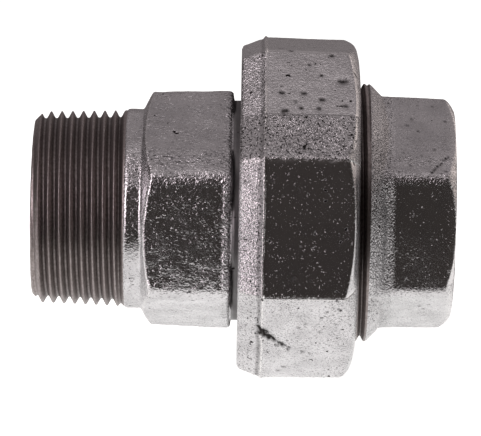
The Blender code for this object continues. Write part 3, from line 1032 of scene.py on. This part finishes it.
@dataclass
class FemaleBody(RingPiece):
    """Flat seat, union thread, cone shoulder, and the hexagon round the inside pipe thread."""

    thread: Thread = Thread(2.0 * MM, 1.25 * MM, 52.8 * MM, 0.32 * MM, 0.34 * MM)
    thread_crest: float = 27.8 * MM
    seat: float = 55.8 * MM
    thread_end: float = 71.8 * MM
    end: float = 90.0 * MM
    skin_rates: Reading = (640.0, 1300.0, 120.0)
    thread_chamfer: float = 1.4 * MM
    blend: float = 0.9 * MM
    scattered_holes: int = 50
    nick_steps: int = 15
    hexagon: Prism = Prism(6, in_mm((72.5, 45.0), (90.0, 44.2)), 2.5 * MM, math.radians(4.5))
    core: Profile = in_mm((71.7, 27.8), (72.2, 27.5), (74.4, 25.2), (75.6, 22.3), (77.0, 21.3))
    rim: Profile = in_mm((86.2, 27.6), (88.6, 24.6), (89.5, 23.2), (90.0, 22.3))
    socket: Thread = Thread(2.309 * MM, 1.48 * MM, 68.8455 * MM, 0.34 * MM, 0.34 * MM)
    socket_root: float = 20.955 * MM
    water_way: Profile = in_mm(
        (55.8, 18.4), (56.2, 18.0), (64.3, 18.0), (67.5, 21.2), (70.0, 21.2), (72.0, 19.2),
    )

    def section(self) -> List[Run]:
        """The ring's section, fine in both threads."""
        return [
            Run(0.0, self.seat, 4),
            Run(1.0, self.seat, 4),
            Run(1.0, self.thread_end, 128),
            Run(1.0, 77.0 * MM, 16),
            Run(1.0, 86.0 * MM, 28),
            Run(1.0, self.end, 16),
            Run(0.0, self.end, 5),
            Run(0.0, 70.0 * MM, 112),
            Run(0.0, 64.0 * MM, 8),
        ]

    def column_angle(self, angle: float) -> float:
        """Crowds the columns a little towards the hexagon's corners."""
        return self.hexagon.crowd(angle, 0.2)

    def finish_at(self, share: float, height: float) -> Finish:
        """Thread on the nut's side and in the socket, turned seat, casting for the rest."""
        if height < 56.0 * MM:
            return Finish.TURNED
        if share > 0.9:
            return Finish.THREAD if height < 71.9 * MM else Finish.CAST
        if share > 0.05:
            return Finish.CAST
        return Finish.THREAD if height > 70.0 * MM else Finish.CAST

    def threaded(self, angle: float, height: float) -> Reading:
        """The union thread, chamfered at the seat and running out at the shoulder."""
        ragged = ragged_at(angle, height)
        depth = self.thread.depth * (1.0 - ease(height, 70.6 * MM, 71.9 * MM))
        filled = self.thread.filled(angle, height)
        radius = self.thread_crest - depth * (1.0 - filled) + 0.015 * MM * ragged * filled
        radius = soft_min(radius, self.thread_crest - self.thread_chamfer + (height - self.seat), 0.2 * MM)
        wear_and_painted_light = ease(filled, 0.8, 1.0) * (0.5 + 0.4 * ragged)
        # Painted shade in the thread's roots.
        return radius, wear_and_painted_light, 0.4 * (1.0 - ease(filled, 0.1, 0.7))

    def coarse_at(self, angle: float, height: float) -> float:
        """Coarse on the cone and the edge next to it; finer on the hexagon."""
        level = level_of(angle)
        patch = noise.noise(on_piece(23.0 * MM, angle, height) * 150.0)
        cone = 1.0 - ease(height, 76.0 * MM, 78.0 * MM)
        edge = ease(abs(self.hexagon.from_flat(angle)), 0.42, 0.48)
        flat = 0.2 if abs(level) > 30.0 else 0.12
        return max(0.6 * cone, 0.5 * bell(level - 36.0, 5.0), 0.3 * edge, flat + 0.12 * patch)

    def outside(self, angle: float, height: float) -> Reading:
        """Union thread, cone shoulder, hexagon and its rounded rim."""
        if height < self.thread_end:
            return self.threaded(angle, height)
        core = along(self.core, height)
        flat = self.hexagon.radius(angle, height)
        flat = soft_min(flat, along(self.rim, height), self.blend)
        started = ease(height, 72.0 * MM, 73.0 * MM)
        radius = soft_max(core, BLANK_BORE + (flat - BLANK_BORE) * started, self.blend)
        point = on_piece(radius, angle, height)
        calm = ease(height, self.thread_end, 72.6 * MM)
        pebble, sand, swell = cast_skin(point, self.skin_rates)
        coned = 1.0 - ease(height, 75.5 * MM, 77.5 * MM)
        lift = (0.025 + 0.05 * coned) * pebble + 0.025 * sand + 0.08 * swell
        wear_and_painted_light = 0.5 * ease(height, 87.8 * MM, 89.6 * MM)
        return radius + lift * calm * MM, wear_and_painted_light, 0.0

    def inside(self, angle: float, height: float) -> Reading:
        """Water way, relief, then the parallel pipe thread to the chamfered mouth."""
        plain = along(self.water_way, height)
        if height < 69.9 * MM:
            # Painted shade along the water way.
            return plain, 0.0, 0.5
        filled = self.socket.filled(angle, height)
        cut = self.socket_root - self.socket.depth * filled
        mouth = 21.2 * MM - (self.end - height)
        # Painted shade in the thread's roots.
        return max(cut, plain, mouth), 0.6 * ease(filled, 0.75, 1.0), 0.6 * (1.0 - filled)

    def carve(self, bm: bmesh.types.BMesh) -> None:
        """Cuts the casting's small blow holes and the nick on the hexagon's edge, with painted shade on
        their floors.

        Args:
            bm: The shaped body.
        """
        draw = random.Random(self.seed)
        marks = Marks(bm)
        for _ in range(self.scattered_holes):
            level = draw.uniform(-180.0, 180.0)
            height = draw.uniform(77.5 * MM, 88.0 * MM)
            length = draw.uniform(0.2, 0.5) * MM
            centre = self.hexagon.place(level, height)
            marks.dent(centre, length, length * draw.uniform(0.5, 0.9), draw.uniform(0.05, 0.14) * MM, 0.7)
        for step in range(self.nick_steps):
            level = 39.5 - 0.85 * step + draw.uniform(-0.4, 0.4)
            height = (88.0 - 0.25 * step + draw.uniform(-0.16, 0.16)) * MM
            centre = self.hexagon.place(level, height)
            marks.dent(centre, draw.uniform(0.2, 0.36) * MM, 0.3 * MM, 0.15 * MM, draw.uniform(0.5, 1.0))

    def finishes(self) -> List[bpy.types.Material]:
        """Dipped casting, cut threads and turned seat."""
        return [
            DippedZinc("body_dipped_zinc", 0.42 * MM, 0.30 * MM, 0.9, 0.65, 0.71).make(),
            CutIron("body_cut_threads").make(),
            TurnedFace("body_turned_seat").make(),
        ]


@dataclass
class Gasket(RingPiece):
    """A flat ring punched from pressed fibre sheet."""

    low: float = 53.5 * MM
    high: float = 55.5 * MM
    outer_radius: float = 26.4 * MM
    hole_radius: float = 18.6 * MM

    def section(self) -> List[Run]:
        """The ring's section, fine across both faces."""
        return [
            Run(0.0, self.low, 6),
            Run(1.0, self.low, 16),
            Run(1.0, self.high, 6),
            Run(0.0, self.high, 16),
        ]

    def finish_at(self, share: float, height: float) -> Finish:
        """One finish all over."""
        return Finish.CAST

    def edge(self, angle: float, height: float) -> float:
        """The punched edge's fuzz and its rounding, as a cut back from the true edge."""
        fuzz = 0.5 + 0.5 * noise.noise(on_piece(26.0 * MM, angle, height) * 1500.0)
        reach = min(height - self.low, self.high - height)
        return 0.05 * MM * fuzz + rounded_end(reach, 0.0, 0.2 * MM)

    def outside(self, angle: float, height: float) -> Reading:
        """The punched outer edge."""
        return self.outer_radius - self.edge(angle, height), 0.0, 0.0

    def inside(self, angle: float, height: float) -> Reading:
        """The punched hole."""
        return self.hole_radius + self.edge(angle, height), 0.0, 0.0

    def end_relief(self, share: float, angle: float, height: float) -> float:
        """The board's weave, and the shallow print of the two seats."""
        outward = 1.0 if height > (self.low + self.high) / 2.0 else -1.0
        radius = self.hole_radius + share * (self.outer_radius - self.hole_radius)
        weave = 0.5 + 0.5 * noise.noise(on_piece(radius, angle, height) * 900.0)
        printed = 0.06 * MM * bell(share - 0.97, 0.12)
        inner = clamp(min(share, 1.0 - share) * 12.0)
        return -outward * (0.04 * MM * weave * inner + printed)

    def finishes(self) -> List[bpy.types.Material]:
        """Pressed fibre."""
        return [PressedFibre("gasket_pressed_fibre").make()]


class Marks:
    """Cuts small hollows into a piece's surface, with painted shade on their floors."""

    def __init__(self, bm: bmesh.types.BMesh, off_centre: float = 0.0) -> None:
        """Sorts the piece's points by place.

        Args:
            bm: The shaped piece.
            off_centre: How far the casting's middle is off the axis.
        """
        bm.verts.ensure_lookup_table()
        self.bm = bm
        self.middle = Vector((-off_centre, 0.0, 0.0))
        self.painted_shade = bm.verts.layers.float["painted_shade"]
        self.tree = KDTree(len(bm.verts))
        for index, vert in enumerate(bm.verts):
            self.tree.insert(vert.co, index)
        self.tree.balance()

    def dent(self, centre: Vector, length: float, width: float, depth: float, painted_shade: float) -> None:
        """Pushes the points round a place towards the axis.

        Args:
            centre: Middle of the hollow, on the surface, from the casting's own middle.
            length: Half its length, along the axis.
            width: Half its width, round the axis.
            depth: How deep it goes.
            painted_shade: How much painted shade darkens its floor, from 0 to 1.
        """
        outward = Vector((centre.x, centre.y, 0.0)).normalized()
        centre = centre + self.middle
        for place, index, _ in self.tree.find_range(centre, 2.0 * max(length, width)):
            offset = place - centre
            across = (offset - outward * offset.dot(outward) - Vector((0.0, 0.0, offset.z))).length
            nearness = math.hypot(offset.z / length, across / width)
            share = bell(nearness, 1.0)
            vert = self.bm.verts[index]
            vert.co -= outward * depth * share
            # Painted shade on the hollow's floor.
            vert[self.painted_shade] = clamp(vert[self.painted_shade] + painted_shade * ease(share, 0.2, 0.75))


# ---------------------------------------------------------------------------------------------
# Studio
# ---------------------------------------------------------------------------------------------


@dataclass(frozen=True)
class Panel:
    """A soft light panel.

    Attributes:
        name: The light's name.
        place: Where its middle is, from the union's middle.
        target: What it faces, from the union's middle.
        size: Width and height.
        radiance: How bright its face looks, where 1 is white.
        tint: Its colour.
    """

    name: str
    place: Tuple[float, float, float]
    target: Tuple[float, float, float]
    size: Tuple[float, float]
    radiance: float
    tint: str

    def hang(self, middle: Vector) -> None:
        """Adds the light.

        Args:
            middle: The union's middle.
        """
        light = bpy.data.lights.new(self.name, "AREA")
        light.shape = "RECTANGLE"
        light.size, light.size_y = self.size
        light.energy = self.radiance * math.pi * self.size[0] * self.size[1]
        light.color = linear(self.tint)[:3]
        lamp = bpy.data.objects.new(self.name, light)
        lamp.location = middle + Vector(self.place)
        aim = Vector(self.target) - Vector(self.place)
        lamp.rotation_euler = aim.to_track_quat("-Z", "Y").to_euler()
        lamp.visible_camera = False
        bpy.context.scene.collection.objects.link(lamp)


@dataclass(frozen=True)
class Studio:
    """A lit table in a dim room, with soft panels overhead and at the sides.

    Attributes:
        table_size: The lit table's length and depth.
        floor_size: The pale floor's side.
        table_glow: How bright the table is.
        floor_glow: How bright the floor behind it is.
        room: The room's dim colour, which the object reflects.
        room_glow: How bright the room is.
        beyond: Colour past the floor's edge, which only the camera sees, and beyond_glow its
            brightness.
        lit: Colour of the light that comes up through the opal acrylic.
        opal: The acrylic's own colour.
        clouding: Size of the clouds in it.
    """

    table_size: Tuple[float, float] = (0.9, 0.100)
    floor_size: float = 6.0
    table_glow: float = 0.88
    floor_glow: float = 1.05
    room: str = "#B6AAA4"
    room_glow: float = 0.102
    beyond: str = "#FFFFFF"
    beyond_glow: float = 1.02
    lit: str = "#FFFFFE"
    opal: str = "#E6E6E4"
    clouding: float = 0.4

    def panels(self) -> List[Panel]:
        """The lights: dim overhead, brighter in front of it, and one at each side."""
        return [
            Panel("overhead", (0.0, 0.215, 0.30), (0.0, 0.215, 0.0), (0.9, 0.55), 0.28, "#FFF4F8"),
            Panel("front_top", (0.0, -0.105, 0.30), (0.0, -0.105, 0.0), (0.9, 0.05), 0.8, "#FFF5F8"),
            Panel("front_wide", (0.0, -0.20, 0.30), (0.0, -0.20, 0.0), (0.9, 0.12), 0.75, "#FFF5F8"),
            Panel("backdrop", (0.0, 0.62, 0.25), (0.0, 0.0, 0.25), (1.2, 0.58), 0.17, "#FFF4F8"),
            Panel("left", (-0.37, -0.41, 0.12), (0.0, 0.0, 0.0), (0.28, 0.60), 3.9, "#FFF1F7"),
            Panel("right", (0.46, 0.30, 0.18), (0.0, 0.0, 0.0), (0.40, 0.40), 0.95, "#FFF1EC"),
        ]

    def opal_acrylic(self, name: str, glow_from_below: float) -> bpy.types.Material:
        """Opal acrylic lit from below: pale, even and faintly clouded.

        Args:
            name: The finish's name.
            glow_from_below: How bright it is.

        Returns:
            The material.
        """
        material, add = new_material(name)
        place = add("TexCoord", (), out="Object")
        cloud = add("TexNoise", {"Vector": place, "Scale": per_size(self.clouding)})
        glow = add("MapRange", (cloud, 0.3, 0.7, glow_from_below, glow_from_below * 1.03), **SMOOTH)
        looks = {
            "Emission Strength": glow,
            "Emission Color": linear(self.lit),
            "Base Color": linear(self.opal),
            "Roughness": 0.9,
            "Specular IOR Level": 0.0,
        }
        add("OutputMaterial", [add("BsdfPrincipled", looks)])
        return material

    def slab(self, name: str, size: Tuple[float, float], top: float) -> bpy.types.Object:
        """A flat rectangle of table or floor.

        Args:
            name: The object's name.
            size: Length and depth.
            top: Its height.

        Returns:
            The object, marked as not part of the union.
        """
        bm = bmesh.new()
        bmesh.ops.create_grid(bm, x_segments=1, y_segments=1, size=0.5)
        bmesh.ops.scale(bm, verts=bm.verts[:], vec=(size[0], size[1], 1.0))
        bmesh.ops.translate(bm, verts=bm.verts[:], vec=(0.0, 0.0, top))
        mesh = bpy.data.meshes.new(name)
        bm.to_mesh(mesh)
        bm.free()
        slab = bpy.data.objects.new(name, mesh)
        bpy.context.scene.collection.objects.link(slab)
        return slab

    def room_shader(self) -> None:
        """Makes the room pale to the camera, as the floor is, and dim to the object."""
        world = bpy.data.worlds.new("dim_room")
        world.use_nodes = True
        world.node_tree.nodes.clear()
        add = partial(add_node, world.node_tree)
        dim = add("Background", {"Color": linear(self.room), "Strength": self.room_glow})
        pale = add("Background", {"Color": linear(self.beyond), "Strength": self.beyond_glow})
        to_camera = add("LightPath", (), out="Is Camera Ray")
        add("OutputWorld", [add("MixShader", (to_camera, dim, pale))])
        bpy.context.scene.world = world

    def set_up(self, ground: float, middle: Vector) -> None:
        """Lays the table and floor, hangs the lights and dims the room.

        Args:
            ground: Height of the union's lowest point.
            middle: The middle of the union's axis.
        """
        table = self.slab("lit_table", self.table_size, ground - 0.1 * MM)
        floor = self.slab("pale_floor", (self.floor_size, self.floor_size), ground - 0.6 * MM)
        table.data.materials.append(self.opal_acrylic("opal_acrylic_table", self.table_glow))
        floor.data.materials.append(self.opal_acrylic("opal_acrylic_floor", self.floor_glow))
        floor.visible_glossy = False
        floor.visible_diffuse = False
        self.room_shader()
        for panel in self.panels():
            panel.hang(middle)
        bpy.context.scene.view_settings.view_transform = "Standard"


@dataclass(frozen=True)
class Viewpoint:
    """The camera, level with the union and a little above it.

    Attributes:
        distance: Camera to union.
        elevation: How far above the horizon it stands, in degrees.
        roll: How far it leans, in degrees.
        lens: Focal length in millimetres, on a 36 mm sensor.
        aim: The point aimed at, from the middle of the union's axis.
    """

    distance: float = 0.84
    elevation: float = 8.0
    roll: float = 1.03
    lens: float = 291.0
    aim: Tuple[float, float, float] = (-0.45 * MM, 0.0, -1.68 * MM)

    def set_up(self, middle: Vector) -> None:
        """Adds the camera.

        Args:
            middle: The union's middle.
        """
        data = bpy.data.cameras.new("camera")
        data.lens = self.lens
        data.clip_start = 0.05
        data.clip_end = 20.0
        camera = bpy.data.objects.new("camera", data)
        tilt = math.radians(self.elevation)
        back = Vector((0.0, -math.cos(tilt), math.sin(tilt)))
        camera.location = middle + Vector(self.aim) + back * self.distance
        aimed = (-back).to_track_quat("-Z", "Y").to_matrix()
        camera.rotation_euler = (aimed @ Matrix.Rotation(math.radians(self.roll), 3, "Z")).to_euler()
        bpy.context.scene.collection.objects.link(camera)
        bpy.context.scene.camera = camera


def main() -> None:
    """Builds the four pieces on the union's axis, then the studio and the camera."""
    logging.basicConfig(level=logging.INFO, format="%(message)s")
    low, high = CAD_BOX
    body_low, body_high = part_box("female_body")
    middle = Vector(((low.x + high.x) / 2.0, (low.y + high.y) / 2.0, (body_low.z + body_high.z) / 2.0))
    axis = Matrix.Translation((low.x, middle.y, middle.z)) @ Matrix.Rotation(math.pi / 2.0, 4, "Y")

    parts: List[RingPiece] = [
        MaleTailpiece("tailpiece_casting", "male_tailpiece", "galvanised_tailpiece", 336, 11),
        UnionNut("nut_casting", "union_nut", "galvanised_nut", 416, 7, 1.1 * MM),
        FemaleBody("body_casting", "female_body", "galvanised_body", 288, 5),
        Gasket("gasket_ring", "gasket", "fibre_gasket", 240, 3),
    ]
    for part in parts:
        piece = part.build(axis)
        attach(piece, part.node)
        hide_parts(part.node)

    Studio().set_up(low.z, middle)
    Viewpoint().set_up(middle)


if __name__ == "__main__":
    main()
